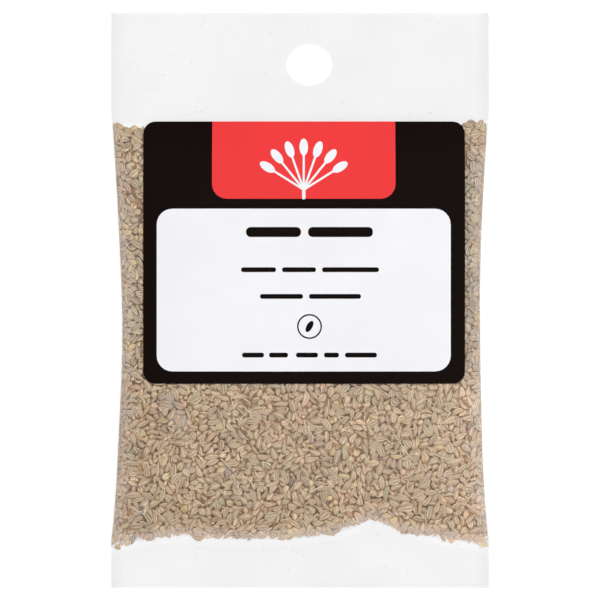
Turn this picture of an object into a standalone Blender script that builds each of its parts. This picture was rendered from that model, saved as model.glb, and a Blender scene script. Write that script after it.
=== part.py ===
"""A clear film packet of anise seed, with a hang hole in its header and a label stuck on its front.

The packet lies on its back with the label up. +Z points out of the front, +Y to the header and +X to the
right as the label is read. The origin is the middle of the footprint, on the surface that the packet
lies on. Lengths are in metres.

Two solids are made. "bag" is the film with the seeds that fill it, and the seeds press bumps of their own
size into the film wherever the label leaves it bare. "label" is the sticker that lies on the bulge.
"""

import math

import bmesh
import bpy
import numpy as np
from mathutils import Matrix

MM = 0.001

# The film tube, laid flat
BAG_WIDTH = 101.6 * MM
BAG_LENGTH = 154.7 * MM
FILM_PLIES = 0.3 * MM  # both plies where they lie on each other
NARROWING = 2.55 * MM  # how far each side is drawn in where the packet is fullest
NARROWING_POWER = 1.1

# The filled pouch between the header seal and the loose fold at the bottom
POUCH_TOP = 50.2 * MM
FILL_TOP = 48.2 * MM
FULL_HEIGHT = 7.9 * MM
TOP_SHOULDER, TOP_POWER = 26.0 * MM, 0.78  # length and steepness of the fall to the header seal
BOTTOM_SHOULDER, BOTTOM_POWER = 24.0 * MM, 0.62
BOTTOM_RUNOUT = 2.6 * MM  # empty film between the last seeds and the flat fold
CROWN_POWER = 2.8  # how square the bulge is across the packet
CROWN_ROUNDING = 0.52
BACK_POWER = 5.0
BACK_ROUNDING = 0.6
BACK_REACH = 1.35  # over 1, so that the back flattens where it rests

# Height of the seam where the front and back film meet
SIDE_SEAM = 3.1 * MM
SEAM_RISE = 15.0 * MM  # length over which the seam climbs beside the pouch
TOP_SEAM = 2.1 * MM
BOTTOM_SEAM = 1.5 * MM
HEADER_END = 0.8 * MM
FOLD_END = 0.5 * MM

# The lower edge of the seeds: a plateau with a low rise, one notch and two drooping corners
PLATEAU = -63.9 * MM
RISE_PLACE, RISE_HEIGHT, RISE_WIDTH = -33.0 * MM, 1.2 * MM, 9.0 * MM
NOTCH_PLACE, NOTCH_HEIGHT, NOTCH_WIDTH = 19.6 * MM, 6.0 * MM, 8.5 * MM
CORNER_DROOP, CORNER_REACH = 2.4 * MM, 6.0 * MM

# The punched hang hole, a little wider than tall and off the middle
HOLE_CENTRE = (2.5 * MM, 63.4 * MM)
HOLE_RADII = (6.15 * MM, 5.6 * MM)
HOLE_SIDES = 40

# One seed, and how closely seeds lie under the film
SEED_LENGTH = 3.6 * MM
SEED_WIDTH = 1.9 * MM
SEED_BUMP = 0.62 * MM
SEED_SPACING = 2.6 * MM
SEED_JITTER = 0.2  # of the spacing
SIZE_SPREAD = 0.16  # of the seed's size

# The label
LABEL_CENTRE = (1.1 * MM, 12.9 * MM)
LABEL_SIZE = (86.3 * MM, 70.4 * MM)
LABEL_CORNER = 3.2 * MM
LABEL_THICKNESS = 0.3 * MM
LABEL_GAP = 0.35 * MM  # clear of the film
LABEL_CELL = (4.9 * MM, 2.9 * MM)
BARE_BORDER = 0.8 * MM  # no bumps this close to the label

GRID_STEP = 0.65 * MM  # spacing of the fine grid that the film is shaped on
BAG_TRIANGLES = 10800
CORNER_SEGMENTS = 6
RANDOM_SEED = 11

SEED_TAN = (0.43, 0.32, 0.22)
LABEL_BLACK = (0.010, 0.007, 0.006)


def clear_scene():
    for obj in list(bpy.data.objects):
        bpy.data.objects.remove(obj, do_unlink=True)


def new_collection(name):
    collection = bpy.data.collections.new(name)
    bpy.context.scene.collection.children.link(collection)
    return collection


def finish(name, colour, roughness):
    """A plain Principled finish."""
    material = bpy.data.materials.new(name)
    material.use_nodes = True
    shader = material.node_tree.nodes["Principled BSDF"]
    shader.inputs["Base Color"].default_value = (*colour, 1.0)
    shader.inputs["Roughness"].default_value = roughness
    shader.inputs["Metallic"].default_value = 0.0
    return material


def smooth_step(low, high, value):
    """0 below low, 1 above high, and an S curve between."""
    share = np.clip((value - low) / (high - low), 0.0, 1.0)
    return share * share * (3.0 - 2.0 * share)


def half_width(y):
    """Half the packet's width, which narrows where the seeds round the tube out."""
    along = np.clip((y - PLATEAU) / (POUCH_TOP - PLATEAU), 0.0, 1.0)
    return BAG_WIDTH / 2 - NARROWING * np.sin(math.pi * along) ** NARROWING_POWER


def fill_edge(x):
    """The y of the seeds' lower edge."""
    rise = RISE_HEIGHT * np.exp(-(((x - RISE_PLACE) / RISE_WIDTH) ** 2))
    notch = NOTCH_HEIGHT * np.exp(-np.abs(x - NOTCH_PLACE) / NOTCH_WIDTH)
    corner = CORNER_DROOP * np.exp((np.abs(x) - BAG_WIDTH / 2) / CORNER_REACH)
    return PLATEAU + rise + notch - corner


def shoulder(distance, length, power):
    """How full the pouch is at this distance from its end: 0 outside, 1 past the shoulder."""
    share = np.clip(distance / length, 0.0, 1.0)
    return (1.0 - (1.0 - share) ** 2) ** power


def fullness(x, y):
    """0 where the plies lie flat, 1 where the pouch is at its full height along the packet."""
    top = shoulder(POUCH_TOP - y, TOP_SHOULDER, TOP_POWER)
    bottom = shoulder(y - fill_edge(x) + BOTTOM_RUNOUT, BOTTOM_SHOULDER, BOTTOM_POWER)
    return top * bottom


def seam_height(y):
    """The height at which the two plies meet, which falls to the ends of the header and the fold."""
    header = TOP_SEAM + (HEADER_END - TOP_SEAM) * (y - POUCH_TOP) / (BAG_LENGTH / 2 - POUCH_TOP)
    fold_start = PLATEAU - CORNER_DROOP
    fold = BOTTOM_SEAM + (FOLD_END - BOTTOM_SEAM) * (fold_start - y) / (BAG_LENGTH / 2 + fold_start)
    side = np.where(y > 0.0, TOP_SEAM, BOTTOM_SEAM)
    ends = np.where(y > 0.0, POUCH_TOP - y, y - fold_start)
    pouch = side + (SIDE_SEAM - side) * smooth_step(0.0, SEAM_RISE, ends)
    return np.where(y > POUCH_TOP, header, np.where(y < fold_start, fold, pouch))


def front_height(x, y):
    """The outer face of the front ply, before the seeds' bumps."""
    across = np.clip(np.abs(x) / half_width(y), 0.0, 1.0)
    crown = (1.0 - across**CROWN_POWER) ** CROWN_ROUNDING
    return seam_height(y) + FILM_PLIES / 2 + (FULL_HEIGHT - SIDE_SEAM) * fullness(x, y) * crown


def back_height(x, y):
    """The outer face of the back ply, which lies flat on the ground under the pouch."""
    across = np.clip(np.abs(x) / half_width(y), 0.0, 1.0)
    crown = (1.0 - across**BACK_POWER) ** BACK_ROUNDING
    sunk = np.clip(BACK_REACH * fullness(x, y) * crown, 0.0, 1.0)
    return (seam_height(y) - FILM_PLIES / 2) * (1.0 - sunk)


def seed_places():
    """Places, headings and scales of the seeds under the front film: a jittered honeycomb."""
    draw = np.random.default_rng(RANDOM_SEED)
    row_step = SEED_SPACING * math.sqrt(3.0) / 2
    places = []
    for row in range(int(BAG_LENGTH / row_step)):
        y = -BAG_LENGTH / 2 + row * row_step
        for column in range(int(BAG_WIDTH / SEED_SPACING) + 2):
            x = -BAG_WIDTH / 2 + (column + row % 2 / 2) * SEED_SPACING
            shift_x, shift_y = draw.normal(0.0, SEED_JITTER * SEED_SPACING, 2)
            heading = draw.uniform(0.0, math.pi)
            scale = 1.0 + draw.uniform(-SIZE_SPREAD, SIZE_SPREAD)
            places.append((x + shift_x, y + shift_y, heading, scale))
    return places


def seed_bumps(x, y):
    """The height that the seeds add to the film: the tallest of their domes at each point."""
    height = np.zeros_like(x)
    for seed_x, seed_y, heading, scale in seed_places():
        near = (np.abs(x - seed_x) < SEED_LENGTH) & (np.abs(y - seed_y) < SEED_LENGTH)
        dx, dy = x[near] - seed_x, y[near] - seed_y
        along = (dx * math.cos(heading) + dy * math.sin(heading)) / (SEED_LENGTH * scale / 2)
        aside = (dy * math.cos(heading) - dx * math.sin(heading)) / (SEED_WIDTH * scale / 2)
        dome = SEED_BUMP * np.sqrt(np.clip(1.0 - along**2 - aside**2, 0.0, 1.0))
        height[near] = np.maximum(height[near], dome)
    return height


def bump_share(x, y):
    """1 where the seeds show through bare film, 0 on the header, on the fold and under the label."""
    beside = np.abs(x - LABEL_CENTRE[0]) - LABEL_SIZE[0] / 2
    beyond = np.abs(y - LABEL_CENTRE[1]) - LABEL_SIZE[1] / 2
    bare = np.maximum(beside, beyond) > BARE_BORDER
    side = smooth_step(0.0, SEED_WIDTH, half_width(y) - np.abs(x))
    return bare * side * (y > fill_edge(x)) * (y < FILL_TOP)


def film_slab():
    """A flat closed slab over the unit square, with a fine grid on both of its faces."""
    columns, rows = (int(side / GRID_STEP) for side in (BAG_WIDTH, BAG_LENGTH))
    bm = bmesh.new()
    bmesh.ops.create_grid(bm, x_segments=columns, y_segments=rows, size=1.0)
    bmesh.ops.solidify(bm, geom=bm.faces[:], thickness=1.0)
    bmesh.ops.recalc_face_normals(bm, faces=bm.faces[:])
    mesh = bpy.data.meshes.new("bag")
    bm.to_mesh(mesh)
    bm.free()
    return mesh


def shape_film(mesh):
    """Moves the slab's two faces onto the front and back ply."""
    points = np.empty(len(mesh.vertices) * 3, np.float32)
    mesh.vertices.foreach_get("co", points)
    u, v, level = points.reshape(-1, 3).astype(float).T
    y = v * BAG_LENGTH / 2
    x = u * half_width(y)
    front = front_height(x, y) + seed_bumps(x, y) * bump_share(x, y)
    is_front = level > (level.min() + level.max()) / 2
    z = np.where(is_front, front, back_height(x, y))
    mesh.vertices.foreach_set("co", np.column_stack((x, y, z)).astype(np.float32).ravel())
    mesh.update()


def hole_cutter(collection):
    """An upright oval drum through the header."""
    bpy.ops.mesh.primitive_cylinder_add(vertices=HOLE_SIDES, radius=1.0, depth=20 * MM)
    cutter = bpy.context.object
    cutter.name = "hang_hole_cutter"
    cutter.location = (*HOLE_CENTRE, 0.0)
    cutter.scale = (*HOLE_RADII, 1.0)
    hide_helper(cutter, collection)
    return cutter


def hide_helper(obj, collection):
    for holder in list(obj.users_collection):
        holder.objects.unlink(obj)
    collection.objects.link(obj)
    obj.hide_render = True
    obj.display_type = "WIRE"


def make_bag(parts, cutters):
    """The film packet with its seeds, as one solid."""
    mesh = film_slab()
    shape_film(mesh)
    bag = bpy.data.objects.new("bag", mesh)
    parts.objects.link(bag)
    bag.data.materials.append(finish("seed_under_film", SEED_TAN, 0.35))
    fewer = bag.modifiers.new("fewer_triangles", "DECIMATE")
    fewer.ratio = BAG_TRIANGLES / (2 * len(mesh.polygons))
    hole = bag.modifiers.new("hang_hole", "BOOLEAN")
    hole.operation = "DIFFERENCE"
    hole.solver = "EXACT"
    hole.object = hole_cutter(cutters)
    bag.data.shade_smooth()
    bag.data.set_sharp_from_angle(angle=math.radians(50.0))
    return bag


def label_cutter(collection):
    """A tall block with the label's outline."""
    bpy.ops.mesh.primitive_cube_add(size=1.0)
    block = bpy.context.object
    block.name = "label_outline"
    block.location = (*LABEL_CENTRE, 0.0)
    block.data.transform(Matrix.Diagonal((*LABEL_SIZE, 40 * MM, 1.0)))
    bm = bmesh.new()
    bm.from_mesh(block.data)
    upright = [e for e in bm.edges if abs(e.verts[0].co.z - e.verts[1].co.z) > MM]
    bmesh.ops.bevel(
        bm, geom=upright, offset=LABEL_CORNER, offset_type="OFFSET", segments=CORNER_SEGMENTS,
        profile=0.5, affect="EDGES",
    )
    bm.to_mesh(block.data)
    bm.free()
    hide_helper(block, collection)
    return block


def make_label(parts, cutters):
    """The sticker, which follows the bulge of the pouch."""
    wide, tall = (side + 2 * LABEL_THICKNESS for side in LABEL_SIZE)
    bm = bmesh.new()
    columns, rows = int(wide / LABEL_CELL[0]), int(tall / LABEL_CELL[1])
    bmesh.ops.create_grid(bm, x_segments=columns, y_segments=rows, size=0.5)
    for vertex in bm.verts:
        x = LABEL_CENTRE[0] + vertex.co.x * wide
        y = LABEL_CENTRE[1] + vertex.co.y * tall
        vertex.co = (x, y, float(front_height(np.array(x), np.array(y))) + LABEL_GAP)
    mesh = bpy.data.meshes.new("label")
    bm.to_mesh(mesh)
    bm.free()
    label = bpy.data.objects.new("label", mesh)
    parts.objects.link(label)
    label.data.materials.append(finish("label_print", LABEL_BLACK, 0.4))
    sheet = label.modifiers.new("thickness", "SOLIDIFY")
    sheet.thickness = LABEL_THICKNESS
    sheet.offset = 1.0
    outline = label.modifiers.new("outline", "BOOLEAN")
    outline.operation = "INTERSECT"
    outline.solver = "EXACT"
    outline.object = label_cutter(cutters)
    return label


def main():
    clear_scene()
    parts = new_collection("anise_seed_packet")
    cutters = new_collection("cutters")
    make_bag(parts, cutters)
    make_label(parts, cutters)


main()
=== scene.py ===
"""Looks for the packet of anise seed: clear film over a heap of real seeds, and a printed sticker.

The seeds are packed as chains of balls that push each other apart inside the pouch. The film is then
drawn tight over them, and the sticker lies on the film. Lengths are in metres, with the packet on its
back, its header towards +Y and its front up.
"""

from math import ceil, cos, hypot, pi, radians, sin

import bpy
import numpy as np
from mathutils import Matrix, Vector
from mathutils.geometry import delaunay_2d_cdt


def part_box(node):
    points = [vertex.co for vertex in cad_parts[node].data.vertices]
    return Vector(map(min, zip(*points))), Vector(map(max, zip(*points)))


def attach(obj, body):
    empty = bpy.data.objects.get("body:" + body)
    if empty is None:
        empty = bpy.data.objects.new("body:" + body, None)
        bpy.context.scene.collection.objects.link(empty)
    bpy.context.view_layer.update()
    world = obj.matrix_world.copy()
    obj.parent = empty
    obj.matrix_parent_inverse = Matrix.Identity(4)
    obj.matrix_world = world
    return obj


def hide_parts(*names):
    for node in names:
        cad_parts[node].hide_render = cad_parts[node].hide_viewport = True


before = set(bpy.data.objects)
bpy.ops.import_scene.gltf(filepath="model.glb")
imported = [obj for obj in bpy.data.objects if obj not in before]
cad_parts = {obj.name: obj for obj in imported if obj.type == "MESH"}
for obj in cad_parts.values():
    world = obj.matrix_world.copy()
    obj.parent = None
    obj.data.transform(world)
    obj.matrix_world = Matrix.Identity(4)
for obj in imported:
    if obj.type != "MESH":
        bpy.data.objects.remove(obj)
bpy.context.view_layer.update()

MM = 0.001
BAG_LOW, BAG_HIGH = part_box("bag")
LABEL_LOW, LABEL_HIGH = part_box("label")

PHOTO_SIDE = 600  # pixels of the photograph, which is square
PACKET_PIXELS = 575.6  # how many of them the packet is long
CAMERA_HEIGHT = 1.2  # above the packet's side seams

# The packet, as the solid has it
BAG_WIDTH, BAG_LENGTH = BAG_HIGH[0] - BAG_LOW[0], BAG_HIGH[1] - BAG_LOW[1]
BAG_SIDE, BAG_END = BAG_WIDTH / 2, BAG_LENGTH / 2
PIXEL = BAG_LENGTH / PACKET_PIXELS
FILM_PLIES = 0.3 * MM
NARROWING, NARROWING_POWER = 2.55 * MM, 1.1
POUCH_TOP, FILL_TOP = 50.2 * MM, 47.45 * MM
LABEL_DIP, HEAP_TILT = 1.3 * MM, 0.0086  # how much lower the heap ends behind the label, and its slope
FULL_HEIGHT = 7.9 * MM
TOP_SHOULDER, TOP_POWER = 26.0 * MM, 0.78
BOTTOM_SHOULDER, BOTTOM_POWER = 24.0 * MM, 0.62
BOTTOM_RUNOUT = 2.6 * MM
CROWN_POWER, CROWN_ROUNDING = 2.8, 0.52
BACK_POWER, BACK_ROUNDING, BACK_REACH = 5.0, 0.6, 1.35
SIDE_SEAM, TOP_SEAM, BOTTOM_SEAM, SEAM_RISE = 3.1 * MM, 2.1 * MM, 1.5 * MM, 15.0 * MM
HEADER_END, FOLD_END = 0.8 * MM, 0.5 * MM
PLATEAU = -63.9 * MM
RISE_PLACE, RISE_HEIGHT, RISE_WIDTH = -33.0 * MM, 1.2 * MM, 9.0 * MM
NOTCH_PLACE, NOTCH_HEIGHT, NOTCH_WIDTH = 19.6 * MM, 6.0 * MM, 8.5 * MM
CORNER_DROOP, CORNER_REACH = 2.4 * MM, 6.0 * MM
HOLE_CENTRE, HOLE_RADII = (2.5 * MM, 63.4 * MM), (6.15 * MM, 5.6 * MM)

# How the filled packet lies: its sides draw in all along, and more at these places, and it bows to +X
DRAW_IN, DRAW_IN_REACH = 0.14 * MM, 14.0 * MM
DRAW_IN_MORE = ((-50.0 * MM, 0.30 * MM), (35.0 * MM, 0.11 * MM))
BOW, BOW_PLACE, BOW_REACH = 0.3 * MM, -12.0 * MM, 22.0 * MM

# The seeds
SEED_COUNT = 12650
SEED_LENGTH, LENGTH_SPREAD, LENGTH_LIMITS = 3.4 * MM, 0.2, (0.62, 1.42)
SEED_WIDTH, WIDTH_SPREAD, WIDTH_LIMITS = 1.57 * MM, 0.18, (0.66, 1.34)
STEEPNESS = 0.45  # of the seeds' first headings, against level
SEED_FLATNESS = 0.82  # thickness over width
BALL_PLACES = np.array((-0.30, 0.02, 0.32))  # from a seed's middle towards its tip, of its length
BALL_SIZES = np.array((0.86, 0.98, 0.62))  # of its half width
TIP_SLACK = np.array((-0.6, -0.32, -0.7)) * MM  # lets the ends of a seed stick out of the heap's rim
SEED_PRESS = 1.18  # how much wider a seed is than the balls that packed it
SIDE_SMALLNESS = 0.14  # how much smaller the seeds along the packet's sides are
PRESSED = 0.88  # of a ball's radius that stays clear of the film it is pressed on
FILM_SWELL = 0.42 * MM  # how far bare film stands above the smooth pouch, on the seeds
PACK_ROUNDS, ROUNDS_A_LIST = 120, 8  # how many, and how many use one list of the close pairs
LIST_MARGIN = 1.12  # how much further apart than touching a listed pair may be
DRIFT = 0.08 * MM  # how far a seed near the rim of the heap moves outwards in the first round
RAGGED = 2.2 * MM  # how unevenly single seeds end the heap
WAVES = ((0.45, 11.3 * MM, 0.6), (0.30, 6.1 * MM, 2.0))  # in its lower edge: height in mm, length, phase
TOP_DEPTH = 2.3 * MM  # seeds this close below the bare front film are seen whole
FRONT_DEPTH = 3.7 * MM  # and these in the gaps between them
BACK_DEPTH = 1.75 * MM
SIDE_DEPTH = 2.6 * MM
SKIN_GAP = 0.05 * MM  # between the seeds and the film they press on
SIDE_GAP = 0.08 * MM
FILM_DIP, FILM_LIFT = 0.45 * MM, 0.07 * MM  # how far the film sinks between seeds, and stays off them
SEAM_LINE = 0.9 * MM  # of the bottom seal, from the bottom edge
CREASE_LINE = 2.7 * MM  # where the two plies meet, from the seeds

FIELD_STEP, FIELD_RIM = 0.5 * MM, 2  # the step of the height grids, and steps beyond the packet
rng = np.random.default_rng(28)


# -------- the pouch's shape, as in the solid


def clamp(value):
    return np.clip(value, 0.0, 1.0)


def smooth(low, high, value):
    """0 to 1 as the value goes from low to high, with soft ends."""
    share = clamp((value - low) / (high - low))
    return share * share * (3.0 - 2.0 * share)


def bell(value, place, reach):
    return np.exp(-(((value - place) / reach) ** 2))


def half_width(y):
    along = clamp((y - PLATEAU) / (POUCH_TOP - PLATEAU))
    return BAG_SIDE - NARROWING * np.sin(pi * along) ** NARROWING_POWER


def from_side(x, y):
    """How far a point lies inside the nearer side."""
    return half_width(y) - np.abs(x)


def fill_edge(x):
    rise = RISE_HEIGHT * bell(x, RISE_PLACE, RISE_WIDTH)
    notch = NOTCH_HEIGHT * np.exp(-np.abs(x - NOTCH_PLACE) / NOTCH_WIDTH)
    corner = CORNER_DROOP * np.exp((np.abs(x) - BAG_SIDE) / CORNER_REACH)
    return PLATEAU + rise + notch - corner


def shoulder(distance, length, power):
    share = clamp(distance / length)
    return (1.0 - (1.0 - share) ** 2) ** power


def fullness(x, y):
    top = shoulder(POUCH_TOP - y, TOP_SHOULDER, TOP_POWER)
    bottom = shoulder(y - fill_edge(x) + BOTTOM_RUNOUT, BOTTOM_SHOULDER, BOTTOM_POWER)
    return top * bottom


def seam_height(y):
    header = TOP_SEAM + (HEADER_END - TOP_SEAM) * (y - POUCH_TOP) / (BAG_END - POUCH_TOP)
    fold_start = PLATEAU - CORNER_DROOP
    fold = BOTTOM_SEAM + (FOLD_END - BOTTOM_SEAM) * (fold_start - y) / (BAG_END + fold_start)
    side = np.where(y > 0.0, TOP_SEAM, BOTTOM_SEAM)
    ends = np.where(y > 0.0, POUCH_TOP - y, y - fold_start)
    pouch = side + (SIDE_SEAM - side) * smooth(0.0, SEAM_RISE, ends)
    return np.where(y > POUCH_TOP, header, np.where(y < fold_start, fold, pouch))


def crown(x, y, power, rounding):
    return (1.0 - clamp(np.abs(x) / half_width(y)) ** power) ** rounding


def front_height(x, y):
    swell = (FULL_HEIGHT - SIDE_SEAM) * fullness(x, y) * crown(x, y, CROWN_POWER, CROWN_ROUNDING)
    return seam_height(y) + FILM_PLIES / 2 + swell


def back_height(x, y):
    sunk = clamp(BACK_REACH * fullness(x, y) * crown(x, y, BACK_POWER, BACK_ROUNDING))
    return (seam_height(y) - FILM_PLIES / 2) * (1.0 - sunk)


LABEL_CENTRE = ((LABEL_LOW[0] + LABEL_HIGH[0]) / 2, (LABEL_LOW[1] + LABEL_HIGH[1]) / 2)
LABEL_SIZE = (LABEL_HIGH[0] - LABEL_LOW[0], LABEL_HIGH[1] - LABEL_LOW[1])


def beside_label(x):
    return np.abs(x - LABEL_CENTRE[0]) - LABEL_SIZE[0] / 2


def beyond_label(x, y):
    """How far a point lies outside the label, negative under it."""
    return np.maximum(beside_label(x), np.abs(y - LABEL_CENTRE[1]) - LABEL_SIZE[1] / 2)


def heap_top(x):
    """The seeds' upper edge, a little higher to the right and lower behind the label."""
    return FILL_TOP + HEAP_TILT * x - LABEL_DIP * smooth(1.5 * MM, -2.0 * MM, beside_label(x))


def ceiling(x, y):
    """The height up to which seeds fill the pouch: the film swells on them where no label holds it."""
    bare = smooth(-0.5 * MM, 2.5 * MM, beyond_label(x, y))
    side = smooth(0.0, 2.0 * MM, from_side(x, y))
    return front_height(x, y) + FILM_SWELL * bare * side * clamp(3.0 * fullness(x, y))


def settled(x, y):
    """Where x comes to be as the filled packet lies, with its sides drawn in and its middle bowed."""
    filled = smooth(POUCH_TOP + 2 * MM, POUCH_TOP - 8 * MM, y)
    filled = filled * smooth(PLATEAU - 2 * MM, PLATEAU + 5 * MM, y)
    drawn_in = DRAW_IN + sum(more * bell(y, place, DRAW_IN_REACH) for place, more in DRAW_IN_MORE)
    return x * (1.0 - drawn_in * filled / half_width(y)) + BOW * bell(y, BOW_PLACE, BOW_REACH) * filled


class Field:
    """A height over the packet, read off a fine grid."""

    def __init__(self, heights):
        self.heights = heights
        self.rise_y, self.rise_x = np.gradient(heights, FIELD_STEP)

    @staticmethod
    def grid():
        ends = [end + FIELD_RIM * FIELD_STEP for end in (BAG_SIDE, BAG_END)]
        return np.meshgrid(*(np.arange(-end, end, FIELD_STEP) for end in ends))

    def softened(self, rounds):
        heights = self.heights
        for _ in range(rounds):
            heights = (heights + spread(heights, 1, np.add) / 9) / 2
        return Field(heights)

    def read(self, values, x, y):
        column = np.clip((x + BAG_SIDE) / FIELD_STEP + FIELD_RIM, 0, values.shape[1] - 1.001)
        row = np.clip((y + BAG_END) / FIELD_STEP + FIELD_RIM, 0, values.shape[0] - 1.001)
        i, j = row.astype(int), column.astype(int)
        v, u = row - i, column - j
        low = values[i, j] * (1 - u) + values[i, j + 1] * u
        high = values[i + 1, j] * (1 - u) + values[i + 1, j + 1] * u
        return low * (1 - v) + high * v

    def at(self, x, y):
        return self.read(self.heights, x, y)

    def normal(self, x, y):
        slope_x, slope_y = self.read(self.rise_x, x, y), self.read(self.rise_y, x, y)
        up = 1.0 / np.sqrt(1.0 + slope_x**2 + slope_y**2)
        return np.stack((-slope_x * up, -slope_y * up, up), -1)


# -------- packing the seeds


def unit(vectors):
    return vectors / np.linalg.norm(vectors, axis=-1, keepdims=True)


def close_pairs(places, reach):
    """Index pairs of the places that are within reach of each other, found on a grid of cells."""
    cells = np.floor((places - places.min(0)) / reach).astype(np.int64) + 1
    counts = cells.max(0) + 2
    keys = (cells[:, 0] * counts[1] + cells[:, 1]) * counts[2] + cells[:, 2]
    order = np.argsort(keys, kind="stable")
    ordered = keys[order]
    first, second = [], []
    steps = [(i, j, k) for i in (-1, 0, 1) for j in (-1, 0, 1) for k in (-1, 0, 1)]
    for i, j, k in steps[13:]:
        wanted = keys + (i * counts[1] + j) * counts[2] + k
        start = np.searchsorted(ordered, wanted, "left")
        found = np.searchsorted(ordered, wanted, "right") - start
        a = np.repeat(np.arange(len(keys)), found)
        b = order[np.repeat(start - np.cumsum(found) + found, found) + np.arange(found.sum())]
        keep = a < b if (i, j, k) == (0, 0, 0) else slice(None)
        first.append(a[keep])
        second.append(b[keep])
    a, b = np.concatenate(first), np.concatenate(second)
    near = ((places[a] - places[b]) ** 2).sum(1) < reach**2
    return a[near], b[near]


def push_apart(balls, radii, a, b):
    """Moves each ball off the ones it overlaps."""
    gap = balls[a] - balls[b]
    distance = np.sqrt((gap**2).sum(1)) + 1e-9
    overlap = np.clip(radii[a] + radii[b] - distance, 0.0, None)
    move = gap * (0.5 * overlap / distance)[:, None]
    count = len(balls)
    total = [np.bincount(a, move[:, k], count) - np.bincount(b, move[:, k], count) for k in range(3)]
    touches = np.bincount(a, overlap > 0, count) + np.bincount(b, overlap > 0, count)
    return np.stack(total, -1) / np.maximum(touches, 1)[:, None] ** 0.5


def uneven_edge(x):
    """The seeds' lower edge: wavy, a little higher left of the notch and lower in the corners."""
    waves = sum(height * np.sin(2 * pi * x / length + phase) for height, length, phase in WAVES)
    notch = 0.7 * bell(x, 15.5 * MM, 3.5 * MM)
    corner = 0.9 * np.exp((np.abs(x) - BAG_SIDE) / (3.5 * MM))
    return fill_edge(x) + (waves + notch - corner) * MM


def keep_inside(balls, radii, front, back, slack):
    """Moves each ball into the pouch. Slack is how far short of the heap's ends its seed stays."""
    for film, way in ((front, 1.0), (back, -1.0)):
        x, y, z = balls.T
        normal = film.normal(x, y)
        over = np.clip(PRESSED * radii - way * (film.at(x, y) - z) * normal[:, 2], 0.0, None)
        balls = balls - way * normal * over[:, None]
    edge = uneven_edge(balls[:, 0]) + radii * 0.7 + slack
    side = half_width(balls[:, 1]) - 0.45 * radii - SIDE_GAP
    balls[:, 0] = np.clip(balls[:, 0], -side, side)
    balls[:, 1] = np.clip(balls[:, 1], edge, heap_top(balls[:, 0]) - radii * 0.6 - slack)
    return balls


def outward(balls):
    """The way from each ball to the nearest rim of the heap, fading with the distance to it."""
    x, y, z = balls.T
    to_side = clamp(1.0 - from_side(x, y) / (7 * MM))
    to_bottom = clamp(1.0 - (y - fill_edge(x)) / (9 * MM))
    to_top = clamp(1.0 - (heap_top(x) - y) / (9 * MM))
    return np.stack((np.sign(x) * to_side, to_top - to_bottom, np.zeros_like(z)), -1)


def scatter(front, back):
    """First places, even in the pouch's volume, with the seeds lying at all headings."""
    places = np.empty((0, 3))
    while len(places) < SEED_COUNT:
        x = rng.uniform(-BAG_SIDE, BAG_SIDE, SEED_COUNT)
        y = rng.uniform(PLATEAU, FILL_TOP + HEAP_TILT * BAG_SIDE, SEED_COUNT)
        z = rng.uniform(0.0, FULL_HEIGHT, SEED_COUNT)
        fits = (z < front.at(x, y)) & (z > back.at(x, y)) & (np.abs(x) < half_width(y))
        fits &= (y > fill_edge(x)) & (y < heap_top(x))
        places = np.concatenate((places, np.stack((x, y, z), -1)[fits]))
    axes = unit(rng.normal(size=(SEED_COUNT, 3)) * (1.0, 1.0, STEEPNESS))
    return places[:SEED_COUNT], axes


def chained(centres, axes, arms):
    """The balls of every seed in one list."""
    return (centres[:, None] + axes[:, None] * arms[..., None]).reshape(-1, 3)


def pack_seeds():
    """Centres, axes, lengths and widths of seeds that fill the pouch with hardly any overlap."""
    grid = Field.grid()
    front, back = Field(ceiling(*grid)).softened(3), Field(back_height(*grid)).softened(8)
    centres, axes = scatter(front, back)
    lengths = SEED_LENGTH * np.clip(rng.normal(1.0, LENGTH_SPREAD, SEED_COUNT), *LENGTH_LIMITS)
    widths = SEED_WIDTH * np.clip(rng.normal(1.0, WIDTH_SPREAD, SEED_COUNT), *WIDTH_LIMITS)
    small = 1.0 - SIDE_SMALLNESS * smooth(6.5 * MM, 3.0 * MM, from_side(*centres[:, :2].T))
    lengths, widths = lengths * small, widths * small
    radii = (widths[:, None] / 2 * BALL_SIZES).ravel()
    arms = lengths[:, None] * BALL_PLACES
    owner = np.repeat(np.arange(SEED_COUNT), 3)
    slack = (RAGGED * rng.random(SEED_COUNT) ** 1.6)[owner] + np.tile(TIP_SLACK, SEED_COUNT)
    reach = 2 * radii.max() * LIST_MARGIN
    for step in range(PACK_ROUNDS):
        balls = chained(centres, axes, arms)
        if step % ROUNDS_A_LIST == 0:
            a, b = close_pairs(balls, reach)
            apart = owner[a] != owner[b]
            a, b = a[apart], b[apart]
        balls = balls + push_apart(balls, radii, a, b)
        balls = balls + outward(balls) * DRIFT * (1.0 - step / PACK_ROUNDS)
        balls = keep_inside(balls, radii, front, back, slack).reshape(-1, 3, 3)
        axes = unit(balls[:, 2] - balls[:, 0])
        centres = balls.mean(1) - axes * arms.mean(1)[:, None]
    return centres, axes, lengths, widths, front, back


# -------- seed shapes

# A seed from its broad end at 0 to its tip at 1: place along it, and radius over its half width
TEARDROP = ((0.03, 0.36), (0.12, 0.78), (0.27, 1.0), (0.44, 0.98), (0.61, 0.79), (0.77, 0.52), (0.91, 0.24))
OVAL = ((0.04, 0.40), (0.14, 0.77), (0.31, 1.0), (0.51, 1.0), (0.69, 0.82), (0.84, 0.53), (0.95, 0.22))
PLAIN = ((0.06, 0.52), (0.24, 0.96), (0.5, 0.93), (0.75, 0.58), (0.94, 0.2))
HALF_CUT = -0.12  # where a half seed is cut flat, of its half thickness
VALLEY = 0.86  # how far out the skin between two ribs lies
OUTSIDE, CUT_FACE, STALK = 1.0, -1.0, 3.0  # kinds of surface, told to the seeds' material


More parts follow.
